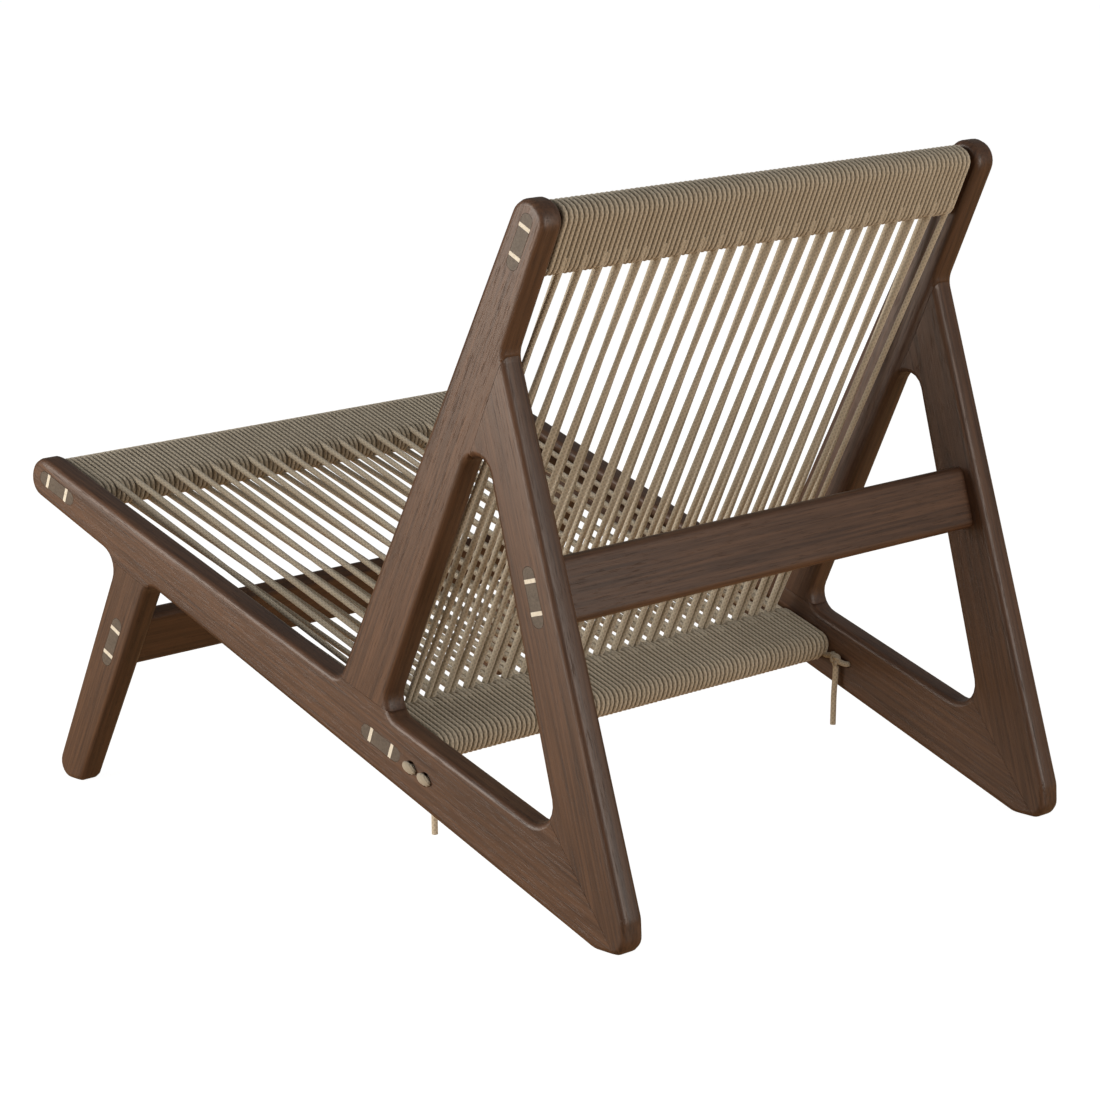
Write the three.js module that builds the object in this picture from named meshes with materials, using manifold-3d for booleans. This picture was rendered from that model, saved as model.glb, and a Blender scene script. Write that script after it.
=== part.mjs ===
// Low lounge chair without arms. Two flat side frames of walnut stand on splayed
// feet and are held apart by five cross boards. Braided cord is wound round three
// of the boards and stretched between them to make the seat and the back.
// Units mm. +X is the sitter's left, -Y the front, +Z up, floor at Z = 0.
import * as THREE from 'three';
import { mergeVertices } from 'three/addons/utils/BufferGeometryUtils.js';
import Module from 'manifold-3d';

const wasm = await Module();
wasm.setup();

// ---- driving sizes --------------------------------------------------------
const WIDTH = 630;            // over the two side frames
const THICK = 27;             // side frame, across the chair
const EASE = 6;               // round-over on every edge of a side frame
const SEAM = 0.3;             // glue line, and the clearance round every fitted piece
const INNER = WIDTH / 2 - THICK;

// Straight edges of a side frame, each a point (Y, Z) and its angle in degrees.
const EDGE = {
  railBottom: [446, -20.4, -20.16],
  railTop: [47.2, 188, -18.16],
  rearLegBack: [446, -20.4, 107.44],
  rearLegFront: [345.4, 90.3, 105.12],
  postBackHigh: [330.8, 661, 66.23],
  postBackLow: [107.3, 168.3, 65.53],
  postFront: [47.2, 188, 63.31],
  frontLegFront: [-290.5, 250, 65.75],
  frontLegBack: [-241.3, 231.9, 63.1],
};
const RAIL_END = [-427.4, 320.7, 160.8];   // front end of the seat rail and its direction
const POST_END = [311.6, 673.4, 64.8];     // top end of the back post and its direction

// Cross boards: centre (Y, Z) and the angle of the board's width.
const BOARD = { width: 62, thick: 19, edge: 7 };
const STRETCHER = { width: 62.6, thick: 20, edge: 7 };
const TENON = { width: 57, thick: 14.5 };
const WEDGE = { apart: 30, wide: 4, tip: 1.6, deep: 22 };
const CROSS = {
  front_seat_bar: [-384.7, 309, -20, BOARD],
  rear_seat_bar: [107, 137.3, -20, BOARD],
  top_back_bar: [297, 635.5, 65, BOARD],
  front_stretcher: [-300.5, 161.5, 64.6, STRETCHER],
  rear_stretcher: [314, 315, 106.5, STRETCHER],
};

// Cord: diameter, pitch of the close winding, strands in each layer.
const CORD = 6.2;
const PITCH = 6.43;
const STRAND = 5.4;                        // a stretched strand is a little thinner
const STRANDS = 22;
const STOP = 12;                           // a strand's end stands clear of the rear bar's winding
const FIRST = -278;                        // x of the strand nearest the right frame
const HOLES = [[148.5, 121.3], [168.5, 114]];   // cord holes through each seat rail (Y, Z)
const HOLE = 8;
const PLUG = { head: 4.4, tilt: -20 };      // bead that a cord end makes outside its hole
const KNOT = { radius: 5.5, off: 6.2 };     // its middle stands this far off the inner face
const TAIL = { dia: 6, end: 48 };           // the loose end hangs down to this height

const rad = THREE.MathUtils.degToRad;
const dir = (deg) => new THREE.Vector2(Math.cos(rad(deg)), Math.sin(rad(deg)));
const side = (v) => new THREE.Vector2(-v.y, v.x);

// ---- solids ---------------------------------------------------------------
function solid(geometry) {
  const g = geometry.clone();
  g.deleteAttribute('normal');
  g.deleteAttribute('uv');
  const m = mergeVertices(g, 1e-4);
  return new wasm.Manifold(new wasm.Mesh({
    numProp: 3,
    vertProperties: Float32Array.from(m.attributes.position.array),
    triVerts: Uint32Array.from(m.index.array),
  }));
}

function geometryOf(manifold) {
  const mesh = manifold.getMesh();
  const g = new THREE.BufferGeometry();
  const p = new Float32Array((mesh.vertProperties.length / mesh.numProp) * 3);
  for (let i = 0; i < p.length / 3; i++) {
    for (let k = 0; k < 3; k++) p[3 * i + k] = mesh.vertProperties[i * mesh.numProp + k];
  }
  g.setAttribute('position', new THREE.BufferAttribute(p, 3));
  g.setIndex(Array.from(mesh.triVerts));
  g.computeVertexNormals();
  return g;
}

// A shape drawn in (Y, Z) becomes a slab standing between two x values.
function slab(shape, x0, x1, bevel = 0) {
  const g = new THREE.ExtrudeGeometry(shape, {
    depth: x1 - x0 - 2 * bevel,
    bevelEnabled: bevel > 0,
    bevelThickness: bevel,
    bevelSize: bevel,
    bevelOffset: -bevel,
    bevelSegments: 2,
    steps: 1,
    curveSegments: 8,
  });
  g.translate(0, 0, x0 + bevel);
  g.applyMatrix4(new THREE.Matrix4().set(0, 0, 1, 0, 1, 0, 0, 0, 0, 1, 0, 0, 0, 0, 0, 1));
  return g;
}

function cross(a, b) {
  const p = new THREE.Vector2(a[0], a[1]);
  const d = dir(a[2]);
  const q = new THREE.Vector2(b[0], b[1]);
  const e = dir(b[2]);
  const s = (q.clone().sub(p)).cross(e) / d.cross(e);
  return p.addScaledVector(d, s);
}

// A closed outline whose corners are rounded: corners are [point, radius].
function rounded(corners, Kind = THREE.Shape, steps = 7) {
  const points = [];
  corners.forEach(([b, r], i) => {
    const a = corners[(i + corners.length - 1) % corners.length][0];
    const c = corners[(i + 1) % corners.length][0];
    if (!r) { points.push(b.clone()); return; }
    const u = a.clone().sub(b).normalize();
    const v = c.clone().sub(b).normalize();
    const half = Math.acos(THREE.MathUtils.clamp(u.dot(v), -1, 1)) / 2;
    const p = b.clone().addScaledVector(u, r / Math.tan(half));
    const q = b.clone().addScaledVector(v, r / Math.tan(half));
    const o = b.clone().addScaledVector(u.clone().add(v).normalize(), r / Math.sin(half));
    const from = p.clone().sub(o).angle();
    let turn = q.clone().sub(o).angle() - from;
    turn = Math.atan2(Math.sin(turn), Math.cos(turn));
    for (let k = 0; k <= steps; k++) {
      const t = from + (turn * k) / steps;
      points.push(new THREE.Vector2(o.x + r * Math.cos(t), o.y + r * Math.sin(t)));
    }
  });
  return new Kind(points);
}

function block([y, z, deg], width, thick, r, grow = 0, steps = 3) {
  const d = dir(deg);
  const m = side(d);
  const w = width / 2 + grow;
  const t = thick / 2 + grow;
  const corner = (a, b) => [new THREE.Vector2(y, z).addScaledVector(d, a * w).addScaledVector(m, b * t),
    Math.min(r + grow, t - 0.01)];
  return rounded([corner(1, 1), corner(-1, 1), corner(-1, -1), corner(1, -1)], THREE.Shape, steps);
}

function barBetween(from, to, half, x0, x1) {
  const d = new THREE.Vector2(to[0] - from[0], to[1] - from[1]);
  const angle = (d.angle() * 180) / Math.PI;
  const mid = [(from[0] + to[0]) / 2, (from[1] + to[1]) / 2, angle];
  return slab(block(mid, d.length(), half * 2, 0), x0, x1);
}

function shifted([y, z, deg], across) {
  const m = side(dir(deg));
  return [y + m.x * across, z + m.y * across, deg];
}

function along([y, z, deg], atY) {
  return [atY, z + Math.tan(rad(deg)) * (atY - y)];
}

// ---- side frame -----------------------------------------------------------
const railEnd = [RAIL_END[0], RAIL_END[1], RAIL_END[2] + 90];
const postEnd = [POST_END[0], POST_END[1], POST_END[2] + 90];
const flat = (x) => new THREE.Vector2(x, 0);
const floor = [0, 0, 0];
const outline = rounded([
  [cross(EDGE.railBottom, railEnd), 19.8],
  [cross(EDGE.railBottom, EDGE.frontLegFront), 22],
  [cross(EDGE.frontLegFront, floor), 17],
  [cross(EDGE.frontLegBack, floor), 11],
  [cross(EDGE.railBottom, EDGE.frontLegBack), 16],
  [flat(391), 30],
  [flat(430.2), 16],
  [new THREE.Vector2(428.4, 34), 30],
  [cross(EDGE.postBackHigh, EDGE.rearLegBack), 22],
  [cross(EDGE.postBackHigh, postEnd), 20.5],
  [cross(EDGE.postFront, postEnd), 20.5],
  [cross(EDGE.railTop, EDGE.postFront), 12],
  [cross(EDGE.railTop, railEnd), 19.8],
]);
outline.holes.push(rounded([
  [cross(EDGE.railTop, EDGE.postBackLow), 20],
  [cross(EDGE.postBackLow, EDGE.rearLegFront), 18],
  [cross(EDGE.railTop, EDGE.rearLegFront), 22],
], THREE.Path));

// Glue lines between the four members, from one point (Y, Z) to another.
const legSeam = shifted(EDGE.railBottom, -4);
const postSeam = shifted(EDGE.railTop, 4);
const spine = shifted(EDGE.postBackLow, -3);
const GLUE = {
  front_leg: [along(legSeam, -345), along(legSeam, -190)],
  back_post: [along(postSeam, 10), along(postSeam, 165)],
  rear_leg: [along(spine, 228), along(spine, 292)],
  foot: [[325, 122], [446, -36]],
};
// Loose tenons: middle on the glue line, and how the tenon lies across it.
const LOOSE = {
  front_leg: [-267, 236.4, 64.4, 44],
  back_post: [76.5, 182.6, 64.4, 52],
  rear_leg: [257, 490.5, -24.5, 26],
  foot: [364.5, 70.5, 37.5, 40],
};
const LOOSE_THICK = 9;

// A member is known by a point well inside it.
const MEMBER = {
  seat_rail: [-100, 215],
  front_leg: [-338, 90],
  back_post: [150, 380],
  rear_leg: [330, 250],
};

// Wedge standing across a tenon: tapers from the outer face inwards. grow widens it
// into the cutter for its slot, which runs out past the tenon's end and faces.
function wedge([y, z, deg], sign, at, grow = 0) {
  const end = WIDTH / 2;
  const points = [
    new THREE.Vector2(WEDGE.wide / 2 + grow, sign * (end + (grow ? 1 : 0))),
    new THREE.Vector2(-WEDGE.wide / 2 - grow, sign * (end + (grow ? 1 : 0))),
    new THREE.Vector2(-WEDGE.tip / 2 - grow, sign * (end - WEDGE.deep - grow)),
    new THREE.Vector2(WEDGE.tip / 2 + grow, sign * (end - WEDGE.deep - grow)),
  ];
  if (sign < 0) points.reverse();
  const thick = TENON.thick + 0.2 + 8 * grow;
  const g = new THREE.ExtrudeGeometry(new THREE.Shape(points), { depth: thick, bevelEnabled: false });
  // drawn x lies along the board's width, drawn y along the chair's X, depth across the board
  const d = dir(deg);
  const m = side(d);
  const o = new THREE.Vector2(y, z).addScaledVector(d, at).addScaledVector(m, thick / 2);
  g.applyMatrix4(new THREE.Matrix4().set(0, 1, 0, 0, d.x, 0, -m.x, o.x, d.y, 0, -m.y, o.y, 0, 0, 0, 1));
  return g;
}

// ---- colours --------------------------------------------------------------
const WALNUT = { color: 0x6b5344, roughness: 0.45, metalness: 0 };
const ENDGRAIN = { color: 0x5a5048, roughness: 0.55, metalness: 0 };
const MAPLE = { color: 0xcfc6ad, roughness: 0.5, metalness: 0 };
const ROPE = { color: 0x958a79, roughness: 0.85, metalness: 0 };

const chair = new THREE.Group();
chair.name = 'lounge_chair';
function add(name, geometry, look) {
  const mesh = new THREE.Mesh(geometry, new THREE.MeshStandardMaterial(look));
  mesh.name = name;
  chair.add(mesh);
}

const SIDES = { left: 1, right: -1 };
for (const [name, sign] of Object.entries(SIDES)) {
  const x0 = sign > 0 ? INNER : -WIDTH / 2;
  const x1 = x0 + THICK;
  let frame = solid(slab(outline, x0, x1, EASE));
  for (const bar of Object.values(CROSS)) {
    frame = frame.subtract(solid(slab(block(bar, TENON.width, TENON.thick, 7.2, SEAM, 4), x0 - 5, x1 + 5)));
  }
  for (const [y, z] of HOLES) {
    const bore = new THREE.CylinderGeometry(HOLE / 2, HOLE / 2, THICK + 10, 12);
    bore.rotateZ(Math.PI / 2).translate((x0 + x1) / 2, y, z);
    frame = frame.subtract(solid(bore));
    // the outer mouth of each hole is countersunk for the cord
    const dish = new THREE.CylinderGeometry(sign > 0 ? 3.3 : 8.2, sign > 0 ? 8.2 : 3.3, 6, 12);
    dish.rotateZ(Math.PI / 2).translate(sign * (WIDTH / 2 - 2), y, z);
    frame = frame.subtract(solid(dish));
  }
  const mid = (x0 + x1) / 2;
  for (const [where, [y, z, deg, long]] of Object.entries(LOOSE)) {
    const wide = where === 'rear_leg' ? 34 : 26;
    const pocket = block([y, z, deg], long + 1, wide, 0, SEAM);
    frame = frame.subtract(solid(slab(pocket, mid - LOOSE_THICK / 2 - SEAM, mid + LOOSE_THICK / 2 + SEAM)));
    add(`${name}_${where}_loose_tenon`,
      slab(block([y, z, deg], long, wide, 3, 0, 2), mid - LOOSE_THICK / 2, mid + LOOSE_THICK / 2), ENDGRAIN);
  }
  for (const [from, to] of Object.values(GLUE)) {
    frame = frame.subtract(solid(barBetween(from, to, SEAM / 2, x0 - 5, x1 + 5)));
  }
  const pieces = frame.decompose();
  for (const [member, [y, z]] of Object.entries(MEMBER)) {
    const probe = solid(new THREE.BoxGeometry(1, 1, 1).translate(mid, y, z));
    const piece = pieces.find((p) => p.intersect(probe).volume() > 0.5);
    add(`${name}_${member}`, geometryOf(piece), WALNUT);
  }
}

// ---- cross boards with their wedged through tenons --------------------------
for (const [name, bar] of Object.entries(CROSS)) {
  const [, , , board] = bar;
  const body = slab(block(bar, board.width, board.thick, board.edge), -INNER + SEAM, INNER - SEAM);
  const tenons = slab(block(bar, TENON.width, TENON.thick, 7.2, 0, 4), -WIDTH / 2, WIDTH / 2);
  let piece = solid(body).add(solid(tenons));
  for (const sign of [1, -1]) {
    for (const at of [-WEDGE.apart / 2, WEDGE.apart / 2]) {
      piece = piece.subtract(solid(wedge(bar, sign, at, 0.2)));
    }
  }
  add(name, geometryOf(piece), WALNUT);
  for (const [label, sign] of Object.entries(SIDES)) {
    [-WEDGE.apart / 2, WEDGE.apart / 2].forEach((at, i) => {
      add(`${name}_${label}_wedge_${i + 1}`, geometryOf(solid(wedge(bar, sign, at))), MAPLE);
    });
  }
}

// ---- cord -------------------------------------------------------------------
function sleeve(bar) {
  const outer = block(bar, BOARD.width, BOARD.thick, BOARD.edge, CORD, 3);
  const inner = block(bar, BOARD.width, BOARD.thick, BOARD.edge, SEAM, 3);
  outer.holes.push(new THREE.Path(inner.getPoints()));
  return solid(slab(outer, -INNER + 0.6, INNER - 0.6));
}

// Where a cord leaves a wound board: the centre of one of its rounded edges.
function turn([y, z, deg], a, b) {
  const d = dir(deg);
  const m = side(d);
  return new THREE.Vector2(y, z)
    .addScaledVector(d, a * (BOARD.width / 2 - BOARD.edge))
    .addScaledVector(m, b * (BOARD.thick / 2 - BOARD.edge));
}

const REACH = BOARD.edge + CORD / 2;
// Straight run touching two equal circles; s0 and s1 say on which side of each.
function tangent(c0, c1, s0, s1) {
  const v = c1.clone().sub(c0);
  const u = v.clone().normalize();
  let n = side(u);
  if (s0 !== s1) {
    const turnBy = Math.asin((2 * REACH) / v.length()) * -s0;
    const w = u.clone().rotateAround(new THREE.Vector2(), turnBy * -1);
    n = side(w);
  }
  return [c0.clone().addScaledVector(n, s0 * REACH), c1.clone().addScaledVector(n, s1 * REACH)];
}

function strand([p, q], x0, x1, cutStart, cutEnd) {
  const v = q.clone().sub(p).normalize();
  const a = p.clone().addScaledVector(v, cutStart);
  const b = q.clone().addScaledVector(v, -cutEnd);
  const from = new THREE.Vector3(x0, a.x, a.y);
  const to = new THREE.Vector3(x1, b.x, b.y);
  const tube = new THREE.CylinderGeometry(STRAND / 2, STRAND / 2, from.distanceTo(to), 5);
  tube.applyQuaternion(new THREE.Quaternion().setFromUnitVectors(
    new THREE.Vector3(0, 1, 0), to.clone().sub(from).normalize()));
  tube.translate((from.x + to.x) / 2, (from.y + to.y) / 2, (from.z + to.z) / 2);
  return solid(tube);
}

const F = CROSS.front_seat_bar;
const B = CROSS.rear_seat_bar;
const U = CROSS.top_back_bar;
const landing = turn(B, -1, 1);
const runs = {
  seatUpper: tangent(turn(F, 1, 1), landing, 1, 1),
  seatLower: tangent(turn(F, 1, -1), landing, -1, 1),
  backRear: tangent(turn(U, -1, -1), landing, 1, -1),
  backFront: tangent(turn(U, -1, 1), landing, -1, -1),
};
const period = 4 * PITCH;                  // every fourth turn of a roll is a strand
let seat = sleeve(F);
let back = sleeve(U);
for (let k = 0; k < STRANDS; k++) {
  const x = FIRST + k * period;
  seat = seat.add(strand(runs.seatUpper, x, x, -1, STOP));
  seat = seat.add(strand(runs.seatLower, x + PITCH * 0.5, x + PITCH, -1, STOP));
  back = back.add(strand(runs.backRear, x, x + 2 * PITCH, -1, STOP));
  back = back.add(strand(runs.backFront, x, x + 3 * PITCH, -1, STOP));
}
add('seat_cord', geometryOf(seat), ROPE);
add('back_cord', geometryOf(back), ROPE);
add('rear_bar_cord', geometryOf(sleeve(B)), ROPE);

// ---- cord ends: plugs in the rail holes, a knot and a hanging tail ------------
for (const [name, sign] of Object.entries(SIDES)) {
  HOLES.forEach(([y, z], i) => {
    const stem = new THREE.CylinderGeometry(CORD / 2, CORD / 2, THICK + 1, 8);
    stem.rotateZ(Math.PI / 2).translate(sign * (INNER + THICK / 2 - 0.3), y, z);
    const head = new THREE.SphereGeometry(PLUG.head, 10, 6);
    head.scale(0.75, 1.2, 0.85).rotateX(rad(PLUG.tilt)).translate(sign * (WIDTH / 2 - 0.1), y, z);
    add(`${name}_cord_plug_${i + 1}`, geometryOf(solid(stem).add(solid(head))), ROPE);
  });
  const y = (HOLES[0][0] + HOLES[1][0]) / 2 - 1;
  const z = (HOLES[0][1] + HOLES[1][1]) / 2;
  const x = sign * (INNER - KNOT.off);
  const knot = new THREE.SphereGeometry(KNOT.radius, 12, 8);
  knot.scale(0.9, 1.15, 1).translate(x, y, z);
  add(`${name}_cord_knot`, geometryOf(solid(knot)), ROPE);
  const top = z - KNOT.radius - 0.7;
  const tail = new THREE.CylinderGeometry(TAIL.dia / 2, TAIL.dia / 2, top - TAIL.end, 10);
  tail.rotateX(Math.PI / 2).translate(x, y, (top + TAIL.end) / 2);
  add(`${name}_cord_tail`, geometryOf(solid(tail)), ROPE);
}

export default chair;
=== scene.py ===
# Low lounge chair without arms: walnut side frames, wedged cross boards and braided
# cord wound round three of the boards and stretched between them. Metres, +Z up.
import math
import random

import bmesh
import bpy
from mathutils import Matrix, Vector


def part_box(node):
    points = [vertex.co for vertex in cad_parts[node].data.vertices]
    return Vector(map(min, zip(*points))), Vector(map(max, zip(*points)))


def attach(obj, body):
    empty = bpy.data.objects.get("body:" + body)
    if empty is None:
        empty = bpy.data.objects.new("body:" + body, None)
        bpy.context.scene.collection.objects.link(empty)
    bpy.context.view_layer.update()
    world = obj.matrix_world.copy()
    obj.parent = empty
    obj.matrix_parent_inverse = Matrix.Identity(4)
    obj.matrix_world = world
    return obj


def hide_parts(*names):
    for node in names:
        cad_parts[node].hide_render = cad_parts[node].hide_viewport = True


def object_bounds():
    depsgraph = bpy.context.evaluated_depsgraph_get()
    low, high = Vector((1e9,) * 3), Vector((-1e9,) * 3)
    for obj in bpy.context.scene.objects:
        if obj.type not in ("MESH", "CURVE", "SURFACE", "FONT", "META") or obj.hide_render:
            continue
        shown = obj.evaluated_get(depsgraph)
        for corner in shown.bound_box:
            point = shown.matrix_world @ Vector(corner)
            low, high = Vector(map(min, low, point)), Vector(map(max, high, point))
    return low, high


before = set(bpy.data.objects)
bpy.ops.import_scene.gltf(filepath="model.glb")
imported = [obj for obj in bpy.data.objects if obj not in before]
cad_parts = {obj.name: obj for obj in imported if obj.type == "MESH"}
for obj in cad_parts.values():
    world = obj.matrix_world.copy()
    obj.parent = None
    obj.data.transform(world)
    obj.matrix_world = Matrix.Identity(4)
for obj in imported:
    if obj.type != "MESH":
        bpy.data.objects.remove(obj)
bounds_at_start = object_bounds()
scene = bpy.context.scene

# ---- Camera ------------------------------------------------------------------
# The chair is seen from behind its left side, from a little above the top of the back.
lens = bpy.data.cameras.new("camera")
lens.sensor_width = 36
lens.lens = 124.97
lens.dof.use_dof = False
camera = bpy.data.objects.new("camera", lens)
camera.location = (2.650, 2.697, 1.132)
aim = Vector((0.0042, 0.0213, 0.2601))
camera.rotation_euler = (aim - camera.location).to_track_quat("-Z", "Y").to_euler()
scene.collection.objects.link(camera)
scene.camera = camera

# ---- Cord finish -------------------------------------------------------------
# Braided cotton cord: two sets of strands cross over each other every few
# millimetres, matt and slightly fuzzy, in a warm grey that varies along its length.
CORD = 0.0061                       # diameter
PITCH = 0.00643                     # from one close turn to the next
BRAID_PERIOD = 0.0052               # along the cord
BRAID_STRANDS = 4                   # round the cord, in each direction
CORD_SHADE = (0.450, 0.388, 0.292)
CORD_LIGHT = (0.575, 0.515, 0.412)


def give(tree, node, inputs):
    """Set inputs of a shader node by name, or link the ones whose value is a socket."""
    for name, value in inputs.items():
        if isinstance(value, bpy.types.NodeSocket):
            tree.links.new(value, node.inputs[name])
        else:
            node.inputs[name].default_value = value


def add(tree, kind, inputs=None, **settings):
    node = tree.nodes.new(f"ShaderNode{kind}")
    for name, value in settings.items():
        setattr(node, name, value)
    give(tree, node, inputs or {})
    return node


def maths(tree, operation, *values):
    return add(tree, "Math", dict(enumerate(values)), operation=operation).outputs[0]


def spread(tree, value, low=0.0, high=1.0, to_low=0.0, to_high=1.0):
    """The value's range from low to high, stretched to run from to_low to to_high."""
    ramp = add(tree, "MapRange", {"Value": value, "From Min": low, "From Max": high,
                                  "To Min": to_low, "To Max": to_high})
    return ramp.outputs["Result"]


def mixed(tree, factor, a, b, blend="MIX"):
    inputs = {"Factor": factor, "A": a, "B": b}
    return add(tree, "Mix", inputs, data_type="RGBA", blend_type=blend).outputs["Result"]


def with_nodes(name):
    material = bpy.data.materials.new(name)
    material.use_nodes = True
    return material, material.node_tree, material.node_tree.nodes["Principled BSDF"]


def braid(name, length, light=1.0, shade_gaps=False):
    """Cord of a given length. Wound cord can take painted shade down the sides that its close
    turns share.
    """
    material, tree, shader = with_nodes(name)
    place = add(tree, "TexCoord")
    split = add(tree, "SeparateXYZ", {0: place.outputs["UV"]})
    along = maths(tree, "MULTIPLY", split.outputs["X"], length / BRAID_PERIOD)
    waves = []
    for slant in (BRAID_STRANDS, -BRAID_STRANDS):
        turns = maths(tree, "MULTIPLY_ADD", split.outputs["Y"], slant, along)
        waves.append(maths(tree, "SINE", maths(tree, "MULTIPLY", turns, 2 * math.pi)))
    height = spread(tree, maths(tree, "MAXIMUM", *waves), -0.6, 1.0)

    drift = add(tree, "TexNoise", {"Scale": 38, "Detail": 3, "Vector": place.outputs["Object"]})
    tone = mixed(tree, drift.outputs["Fac"],
                 (*(c * light for c in CORD_SHADE), 1), (*(c * light for c in CORD_LIGHT), 1))
    # The braid's low grooves are painted up to 30% darker: painted shade between the strands.
    colour = mixed(tree, 1, tone, spread(tree, height, to_low=0.70), "MULTIPLY")
    # Painted shade in the gaps between close turns: the sides that face along the board are
    # darkened to about half, and the tops are painted a little lighter.
    if shade_gaps:
        facing = add(tree, "NewGeometry")
        sideways = add(tree, "SeparateXYZ", {0: facing.outputs["Normal"]})
        amount = maths(tree, "ABSOLUTE", sideways.outputs["X"])
        gap_shade = spread(tree, amount, 0.35, 0.95, 1.08, 0.48)
        colour = mixed(tree, 1, colour, gap_shade, "MULTIPLY")
    bump = add(tree, "Bump", {"Strength": 0.35, "Distance": 0.0006, "Height": height})
    give(tree, shader, {
        "Base Color": colour, "Normal": bump.outputs["Normal"], "Roughness": 0.9,
        "Specular IOR Level": 0.2, "Sheen Weight": 0.25, "Sheen Roughness": 0.6,
    })
    return material


def laid_cord(name, runs, material, width=CORD, closed=False, sides=3):
    """One piece of cord, or several alike, swept along the given runs of points."""
    curve = bpy.data.curves.new(name, "CURVE")
    curve.dimensions = "3D"
    curve.bevel_depth = width / 2
    curve.bevel_resolution = sides
    curve.use_fill_caps = not closed
    for run in runs:
        spline = curve.splines.new("POLY")
        spline.points.add(len(run) - 1)
        for point, place in zip(spline.points, run):
            point.co = (*place, 1)
        spline.use_cyclic_u = closed
        spline.use_smooth = True
    curve.materials.append(material)
    piece = bpy.data.objects.new(name, curve)
    scene.collection.objects.link(piece)
    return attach(piece, "root")


def path_length(path):
    return sum(math.dist(a, b) for a, b in zip(path, path[1:]))


# ---- Cord tails --------------------------------------------------------------
# What is left of the winding cord hangs from the knot on the inner face of each
# seat rail. The left one curls a little forward, the right one hangs straighter.
TAIL_STEPS = 16
TAIL_LEAN = 0.0012                  # towards the middle of the chair, at the cut end
CURLED_BY = 0.6                     # share of the drop in which a tail swings forward
for side, sign, curl in (("left", 1, -0.0125), ("right", -1, -0.0015)):
    low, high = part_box(f"{side}_cord_tail")
    x = (low.x + high.x) / 2
    y = (low.y + high.y) / 2
    tail = []
    for i in range(TAIL_STEPS + 1):
        t = i / TAIL_STEPS
        swung = 0.5 - 0.5 * math.cos(math.pi * min(1, t / CURLED_BY))
        tail.append((x - sign * TAIL_LEAN * t, y + curl * swung, high.z + (low.z - high.z) * t))
    length = path_length(tail)
    # The tails' cord is painted 15% lighter than the rest: painted light on the hanging ends.
    piece = laid_cord(f"{side}_tail", [tail], braid(f"{side}_tail_braid", length, 1.15), sides=4)
    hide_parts(f"{side}_cord_tail")

# ---- Wound boards ------------------------------------------------------------
# Each wound board carries about ninety close turns, laid side by side from frame to
# frame. The turns follow the board's rounded section, so a roll is flat with round edges.
BOARD_WIDTH = 0.062
BOARD_THICK = 0.019
BOARD_EDGE = 0.007                  # radius of the board's edges
FIRST = -0.278                      # x of the stretched strand nearest the right frame
TURN_RADIUS = BOARD_EDGE + CORD / 2
STEPS = 36                          # points in one turn
TURNS = 88.5
REAR_TURNS = (-0.11, 88.83)         # from one rail's hole to the other's, at the rear edge
REAR_CLOSE = 82                     # the rear bar's later turns touch each other
WAVER, WAVER_RATE = 0.00012, 2.3    # a slow drift of the turns along the board
UNEVEN = 0.00005                    # and a small random one
WOUND = {"front_seat_bar": -20, "rear_seat_bar": -20, "top_back_bar": 65}


def across(angle):
    """The directions of a board's width and thickness, seen from the side."""
    width = Vector((math.cos(math.radians(angle)), math.sin(math.radians(angle))))
    return width, Vector((-width.y, width.x))


def section(t):
    """A point of a turn's centreline, t from 0 to 1, in the board's own width and thickness."""
    flat_w = BOARD_WIDTH - 2 * BOARD_EDGE
    flat_t = BOARD_THICK - 2 * BOARD_EDGE
    quarter = TURN_RADIUS * math.pi / 2
    stretches = (flat_w, quarter, flat_t, quarter, flat_w, quarter, flat_t, quarter)
    at = (t % 1) * sum(stretches)
    corner = Vector((flat_w / 2, flat_t / 2))
    heading = math.pi
    spot = corner + Vector((0, TURN_RADIUS))
    for i, stretch in enumerate(stretches):
        step = min(at, stretch)
        ahead = Vector((math.cos(heading), math.sin(heading)))
        left = Vector((-ahead.y, ahead.x))
        if i % 2 == 0:
            spot = spot + ahead * step
        else:
            swing = step / TURN_RADIUS
            forward, aside = TURN_RADIUS * math.sin(swing), TURN_RADIUS * (1 - math.cos(swing))
            spot = spot + ahead * forward + left * aside
            heading += swing
        at -= step
        if at <= 0:
            break
    return spot


outline = [section(i / STEPS) for i in range(STEPS)]
turn_length = path_length(outline + outline[:1])
FIRST_TURN = FIRST - PITCH
ROLL_ENDS = {}                      # where the rear winding stops, and which way it heads
for node, angle in WOUND.items():
    rear = node == "rear_seat_bar"
    low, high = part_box(node)
    centre = (low + high) / 2
    wide, thick = across(angle)
    first, last = REAR_TURNS if rear else (0, TURNS)
    close_from = REAR_CLOSE if rear else TURNS
    hand = random.Random(node)
    winding = []
    for i in range(round(first * STEPS), round(last * STEPS) + 1):
        t = i / STEPS
        slack = WAVER * math.sin(WAVER_RATE * t) + hand.uniform(-UNEVEN, UNEVEN)
        x = FIRST_TURN + PITCH * min(t, close_from) + CORD * max(0, t - close_from)
        a, b = outline[i % STEPS]
        spot = wide * a + thick * b
        winding.append(Vector((x + slack, centre.y + spot.x, centre.z + spot.y)))
    finish = braid(f"{node}_winding_braid", turn_length * (last - first), shade_gaps=True)
    roll = laid_cord(f"{node}_winding", [winding], finish)
    if rear:
        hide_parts("rear_bar_cord")
        ROLL_ENDS["right"] = (winding[0], (winding[0] - winding[1]).normalized())
        ROLL_ENDS["left"] = (winding[-1], (winding[-1] - winding[-2]).normalized())

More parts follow.
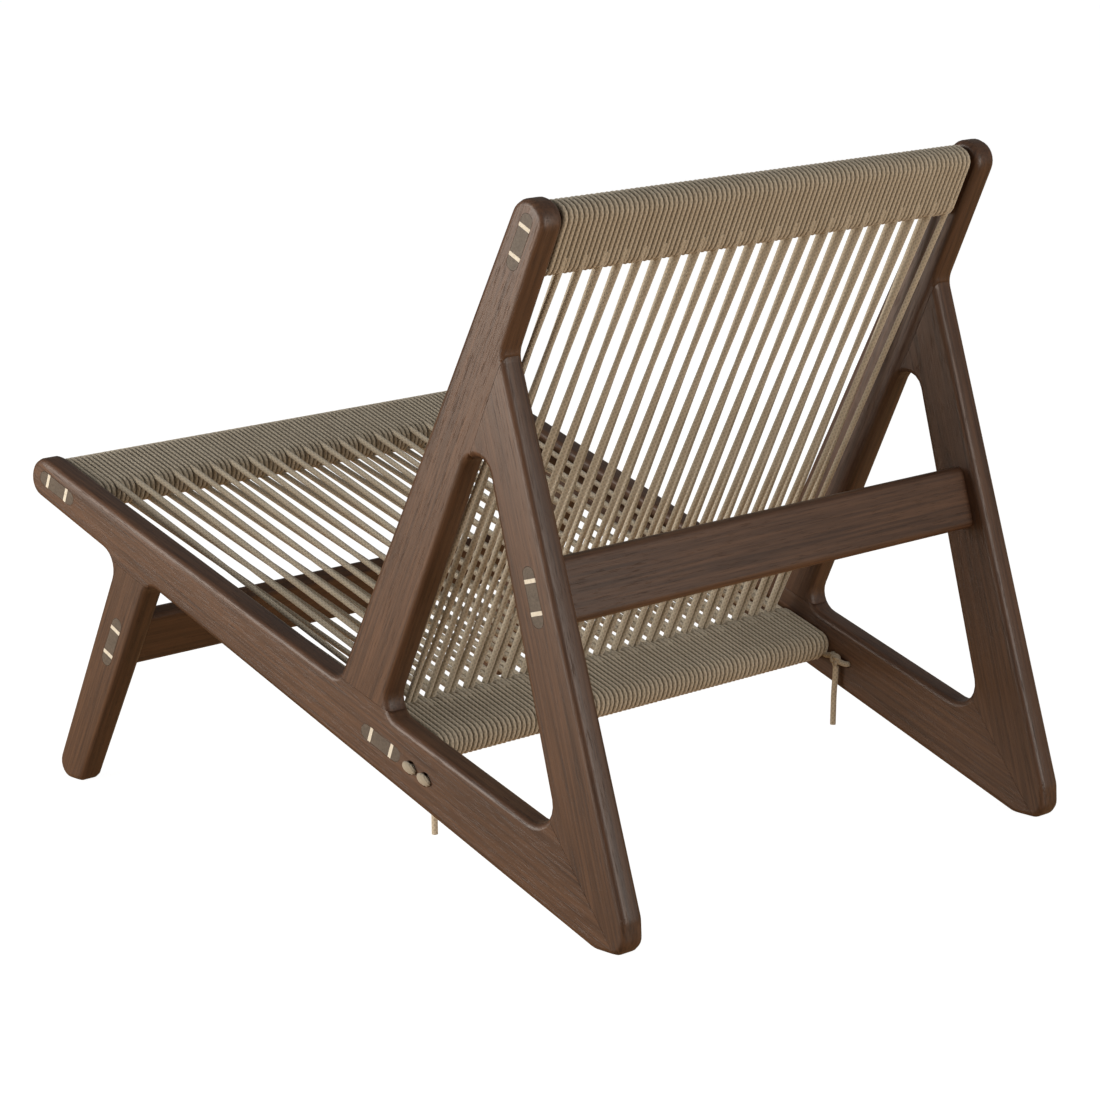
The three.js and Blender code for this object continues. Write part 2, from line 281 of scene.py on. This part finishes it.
# ---- Knots and cord ends -----------------------------------------------------
# The last turn on the rear bar goes through the first hole in the rail and comes back
# through the second, and is knotted inside. Outside, it shows as two tight little loops.
HOLES = ((0.1485, 0.1213), (0.1685, 0.1140))    # y and z of each hole's middle
RAIL_ANGLE = math.radians(-20)
INNER_FACE = 0.2880                 # x of the rail's inner face
MOUTH = INNER_FACE + 0.002          # where a cord end is straight in its hole
END_INSIDE = INNER_FACE + 0.0235    # where it stops, under the loop
KNOT_CORD = 0.0046                  # the knot is pulled tight, so its cord is thinner
KNOT_POINTS = 48
KNOT_REACH = 0.0034                 # mean distance of the knot's strands from its middle
KNOT_LOBES = 0.42                   # share by which lobes go beyond it, and waists inside it
KNOT_WEAVE = 0.0022                 # how far its strands pass over and under each other
LOOP_HALF = (0.0033, 0.0092, 0.0048)
LOOP_SUNK = 0.0017                  # how far a loop's middle is inside the widest point


def led(start, start_pull, end, end_pull, steps=14):
    """A smooth path from start to end that leaves and arrives along the two pulls."""
    a, d = Vector(start), Vector(end)
    b, c = a + Vector(start_pull), d - Vector(end_pull)
    path = []
    for i in range(steps + 1):
        t = i / steps
        s = 1 - t
        path.append(a * s ** 3 + b * (3 * t * s ** 2) + c * (3 * t * t * s) + d * t ** 3)
    return path


for side, sign in (("left", 1), ("right", -1)):
    low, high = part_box(f"{side}_cord_knot")
    middle = (low + high) / 2
    knot = []
    for i in range(KNOT_POINTS):
        t = 2 * math.pi * i / KNOT_POINTS
        reach = KNOT_REACH * (1 + KNOT_LOBES * math.cos(3 * t))
        knot.append((middle.x + KNOT_WEAVE * math.sin(3 * t),
                     middle.y + reach * math.cos(2 * t), middle.z + reach * math.sin(2 * t)))
    finish = braid(f"{side}_knot_braid", 0.05)
    piece = laid_cord(f"{side}_knot", [knot], finish, KNOT_CORD, closed=True)
    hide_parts(f"{side}_cord_knot")

    outer = sign * bounds_at_start[1].x
    last, heading = ROLL_ENDS[side]
    into = (sign * 0.006, 0, 0)
    for hole, (y, z) in enumerate(HOLES, 1):
        mouth = (sign * MOUTH, y, z)
        if hole == 1:
            run = led(last, heading * 0.010, mouth, into)
        else:
            run = led(middle, Vector((0, 0.006, -0.001)), mouth, into)
        run.append(Vector((sign * END_INSIDE, y, z)))
        laid_cord(f"{side}_end_{hole}", [run], braid(f"{side}_end_braid_{hole}", path_length(run)))

        bead = bmesh.new()
        bmesh.ops.create_uvsphere(bead, u_segments=28, v_segments=16, radius=1)
        for vertex in bead.verts:
            around = math.atan2(vertex.co.y, vertex.co.x)
            vertex.co *= 1 + 0.05 * math.sin(6 * around + 9 * vertex.co.z)
        bmesh.ops.scale(bead, vec=LOOP_HALF, verts=bead.verts)
        bmesh.ops.rotate(bead, matrix=Matrix.Rotation(RAIL_ANGLE, 3, "X"), verts=bead.verts)
        bmesh.ops.translate(bead, vec=(outer - sign * LOOP_SUNK, y, z), verts=bead.verts)
        for face in bead.faces:
            face.smooth = True
        mesh = bpy.data.meshes.new(f"{side}_bead_{hole}")
        bead.to_mesh(mesh)
        bead.free()
        mesh.materials.append(braid(f"{side}_bead_braid_{hole}", 0.03, 0.8))
        loop = bpy.data.objects.new(f"{side}_bead_{hole}", mesh)
        scene.collection.objects.link(loop)
        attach(loop, "root")
        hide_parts(f"{side}_cord_plug_{hole}")

# ---- Seat and back ----------------------------------------------------------
# Two layers of parallel strands make each web. They leave the two edges of the front
# or the top roll and run together on to the front upper edge of the rear roll: the
# seat's over its top, the back's down its front. Every fourth turn is a strand.
STRANDS = 22
EVERY = 4
STRETCHED = CORD * 0.95             # a taut strand is a little thinner
TUCK_START, TUCK_END = 0.009, 0.006     # how far a strand runs on into its rolls
START_WANDER, END_WANDER = 0.0003, 0.0002


def corner_of(node, end, face):
    """The middle of one rounded corner of a wound board's section."""
    low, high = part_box(node)
    centre = (low + high) / 2
    wide, thick = across(WOUND[node])
    along = wide * end * (BOARD_WIDTH / 2 - BOARD_EDGE)
    spot = along + thick * face * (BOARD_THICK / 2 - BOARD_EDGE)
    return Vector((centre.y + spot.x, centre.z + spot.y))


def stretched(start, end, start_side, end_side):
    """The straight run that touches both corner circles, a little past each end."""
    ahead = (end - start).normalized()
    if start_side != end_side:
        tilt = math.asin(2 * TURN_RADIUS / (end - start).length) * start_side
        ahead = Vector((ahead.x * math.cos(tilt) - ahead.y * math.sin(tilt),
                        ahead.x * math.sin(tilt) + ahead.y * math.cos(tilt)))
    left = Vector((-ahead.y, ahead.x))
    return (start + left * start_side * TURN_RADIUS - ahead * TUCK_START,
            end + left * end_side * TURN_RADIUS + ahead * TUCK_END)


# name, node, corner left, side left on, side landed on, turns on from FIRST at each end
LAYERS = (
    ("seat_upper", "seat_cord", corner_of("front_seat_bar", 1, 1), 1, 1, 0.0, 0.0),
    ("seat_lower", "seat_cord", corner_of("front_seat_bar", 1, -1), -1, 1, 0.5, 1.0),
    ("back_rear", "back_cord", corner_of("top_back_bar", -1, -1), 1, -1, 0.0, 2.0),
    ("back_front", "back_cord", corner_of("top_back_bar", -1, 1), -1, -1, 0.0, 3.0),
)
landing = corner_of("rear_seat_bar", -1, 1)
for name, node, corner, leaves, lands, from_turn, to_turn in LAYERS:
    a, b = stretched(corner, landing, leaves, lands)
    wander = random.Random(name)
    strands = []
    for k in range(STRANDS):
        x = FIRST + EVERY * PITCH * k
        x0 = x + from_turn * PITCH + wander.uniform(-START_WANDER, START_WANDER)
        x1 = x + to_turn * PITCH + wander.uniform(-END_WANDER, END_WANDER)
        strands.append([(x0, a.x, a.y), (x1, b.x, b.y)])
    finish = braid(f"{name}_braid", (b - a).length)
    web = laid_cord(f"{name}_strands", strands, finish, STRETCHED, sides=4)
    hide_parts(node)

# ---- Wood finish -------------------------------------------------------------
# Oiled walnut: long brown figure, fine dark pores along the grain, and a soft shine
# that breaks up on the pores. Its grain lies along Y until it is turned.
WALNUT_PALE = (0.127, 0.063, 0.0335)
WALNUT_DARK = (0.0345, 0.0147, 0.0076)
ACROSS_CHAIR = (0, 0, math.radians(90))


def timber(name, turn, pale, dark, shine=0.46, figure=1.0):
    """Wood with its grain turned to run along the piece. A low shine value is glossier."""
    material, tree, shader = with_nodes(name)
    place = add(tree, "TexCoord")
    grain = add(tree, "Mapping", {"Vector": place.outputs["Object"], "Rotation": turn})

    def streaks(stretch, scale, detail, distortion, low, high):
        squeeze = add(tree, "Mapping", {"Vector": grain.outputs[0], "Scale": (1, stretch, 1)})
        noise = add(tree, "TexNoise", {
            "Vector": squeeze.outputs[0], "Scale": scale, "Detail": detail,
            "Roughness": 0.6, "Distortion": distortion,
        })
        return spread(tree, noise.outputs["Fac"], low, high)

    broad = streaks(0.04, 34 * figure, 5, 0.35, 0.34, 0.68)
    fine = streaks(0.02, 330, 4, 0.0, 0.34, 0.66)
    pores = streaks(0.04, 1100, 2, 0.0, 0.58, 0.70)
    blend = add(tree, "Mix", {"Factor": 0.62, "A": broad, "B": fine})
    colour = mixed(tree, blend.outputs["Result"], (*dark, 1), (*pale, 1))
    in_pores = (dark[0] * 0.45, dark[1] * 0.4, dark[2] * 0.4, 1)
    pitted = mixed(tree, maths(tree, "MULTIPLY", pores, 0.5), colour, in_pores)
    bump = add(tree, "Bump", {"Strength": 0.35, "Distance": 0.0004, "Height": pores}, invert=True)
    give(tree, shader, {
        "Base Color": pitted, "Normal": bump.outputs["Normal"], "Specular IOR Level": 0.55,
        "Roughness": spread(tree, pores, to_low=shine - 0.05, to_high=shine + 0.14),
    })
    return material


TENON_ENDS = 0.313                  # a face across the chair beyond this x ends a tenon
MERGED = 0.00001                    # corners nearer than this are one


def finished(node, material, sharp=50, end_grain=None):
    """A merged copy of a node, shaded smooth over its round edges and flat between them."""
    body = bmesh.new()
    body.from_mesh(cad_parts[node].data)
    bmesh.ops.remove_doubles(body, verts=body.verts, dist=MERGED)
    bmesh.ops.dissolve_limit(body, angle_limit=math.radians(0.5),
                             verts=body.verts, edges=body.edges)
    for face in body.faces:
        face.smooth = True
    for edge in body.edges:
        edge.smooth = len(edge.link_faces) == 2 and edge.calc_face_angle(3) < math.radians(sharp)
    mesh = bpy.data.meshes.new(f"{node}_wood")
    body.to_mesh(mesh)
    body.free()
    mesh.materials.append(material)
    if end_grain:
        mesh.materials.append(end_grain)
        for face in mesh.polygons:
            if abs(face.normal.x) > 0.99 and abs(face.center.x) > TENON_ENDS:
                face.material_index = 1
    piece = bpy.data.objects.new(f"{node}_wood", mesh)
    scene.collection.objects.link(piece)
    even = piece.modifiers.new("even", "WEIGHTED_NORMAL")
    even.keep_sharp = True
    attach(piece, "root")
    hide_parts(node)
    return piece


# ---- Side frames -------------------------------------------------------------
# Four flat members glued edge to edge, each with the grain along its length. The two
# legs are cut from slightly darker boards than the rail and the post.
MEMBERS = {                         # the slope of the grain, and how pale the board is
    "seat_rail": (-20.2, 1.0), "front_leg": (64.4, 0.93),
    "back_post": (64.9, 1.0), "rear_leg": (106.3, 0.93),
}
for side in ("left", "right"):
    for member, (angle, tone) in MEMBERS.items():
        wood = timber(f"{side}_{member}_walnut", (math.radians(-angle), 0, 0),
                      [c * tone for c in WALNUT_PALE], [c * tone for c in WALNUT_DARK])
        finished(f"{side}_{member}", wood)

# ---- Loose tenons ------------------------------------------------------------
# Plain hardwood tongues across the glue lines, hidden inside the frames.
inner_wood = timber("tongue_wood", (0, 0, 0), (0.50, 0.38, 0.25), (0.36, 0.26, 0.16), 0.7)
for side in ("left", "right"):
    for member in ("front_leg", "back_post", "rear_leg", "foot"):
        finished(f"{side}_{member}_loose_tenon", inner_wood)

# ---- Cross boards ------------------------------------------------------------
# Five boards with the grain across the chair. Their tenons show end grain on the
# outer faces of the side frames.
BOARDS = ("front_seat_bar", "rear_seat_bar", "top_back_bar", "front_stretcher", "rear_stretcher")
end_wood = timber("end_grain", ACROSS_CHAIR, (0.115, 0.092, 0.070), (0.060, 0.046, 0.034),
                  0.6, figure=3.0)
board_wood = timber("board_walnut", ACROSS_CHAIR, WALNUT_PALE, WALNUT_DARK)
for node in BOARDS:
    finished(node, board_wood, end_grain=end_wood)

# ---- Wedges -------------------------------------------------------------------
# Pale maple wedges, driven into saw cuts across each tenon and planed flush.
maple = timber("wedge_maple", ACROSS_CHAIR, (0.76, 0.73, 0.64), (0.60, 0.56, 0.46), 0.5)
for node in BOARDS:
    for side in ("left", "right"):
        for wedge in (1, 2):
            finished(f"{node}_{side}_wedge_{wedge}", maple, 20)

# ---- Studio -------------------------------------------------------------------
# The chair stands on a pale floor that runs off into a white room. What the wood and
# the cord receive is dimmer and warmer than what shows behind them: two tall soft
# lights, at the left front and at the rear, put a grey shine on the flat faces, and
# the round-overs between them stay dark.
FLOOR_HALF = 30
FLOOR_DROP = 0.0005                 # the feet stand just clear of it
LAMP_COLOUR = (1.0, 0.94, 0.86)
LAMPS = (                           # name, place, width, watts
    ("key", (3.0, -1.2, 0.45), 3.0, 180),
    ("rear", (-0.6, 3.1, 0.55), 2.1, 54),
)


def backdrop(tree, shown, felt, out):
    """shown is what the eye sees directly, felt is what lights the chair."""
    path = add(tree, "LightPath")
    mix = add(tree, "MixShader", {"Fac": path.outputs["Is Camera Ray"], 1: felt, 2: shown})
    tree.links.new(mix.outputs[0], out.inputs["Surface"])


ground = bmesh.new()
bmesh.ops.create_grid(ground, x_segments=1, y_segments=1, size=FLOOR_HALF)
mesh = bpy.data.meshes.new("floor")
ground.to_mesh(mesh)
ground.free()
white, tree, paint = with_nodes("floor_white")
give(tree, paint, {
    "Base Color": (0.25, 0.25, 0.25, 1), "Roughness": 0.9, "Specular IOR Level": 0.0,
    "Emission Color": (1, 1, 1, 1), "Emission Strength": 0.96,
})
warm = add(tree, "BsdfDiffuse", {"Color": (0.36, 0.24, 0.14, 1)})
glow = add(tree, "Emission", {"Color": (1.0, 0.60, 0.28, 1), "Strength": 0.20})
both = add(tree, "AddShader", {0: warm.outputs[0], 1: glow.outputs[0]})
backdrop(tree, paint.outputs[0], both.outputs[0], tree.nodes["Material Output"])
mesh.materials.append(white)
floor = bpy.data.objects.new("floor", mesh)
floor.location.z = -FLOOR_DROP
scene.collection.objects.link(floor)

room = bpy.data.worlds.new("room")
room.use_nodes = True
tree = room.node_tree
shown = tree.nodes["Background"]
shown.inputs["Color"].default_value = (1, 1, 1, 1)
felt = add(tree, "Background", {"Color": (1.0, 0.97, 0.93, 1), "Strength": 0.21})
backdrop(tree, shown.outputs[0], felt.outputs[0], tree.nodes["World Output"])
scene.world = room
scene.view_settings.view_transform = "Standard"

lit_spot = Vector((0, 0, 0.3))
for name, spot, size, power in LAMPS:
    lamp = bpy.data.lights.new(name, "AREA")
    lamp.shape = "SQUARE"
    lamp.size = size
    lamp.energy = power
    lamp.color = LAMP_COLOUR
    light = bpy.data.objects.new(name, lamp)
    light.location = spot
    light.rotation_euler = (lit_spot - light.location).to_track_quat("-Z", "Y").to_euler()
    scene.collection.objects.link(light)
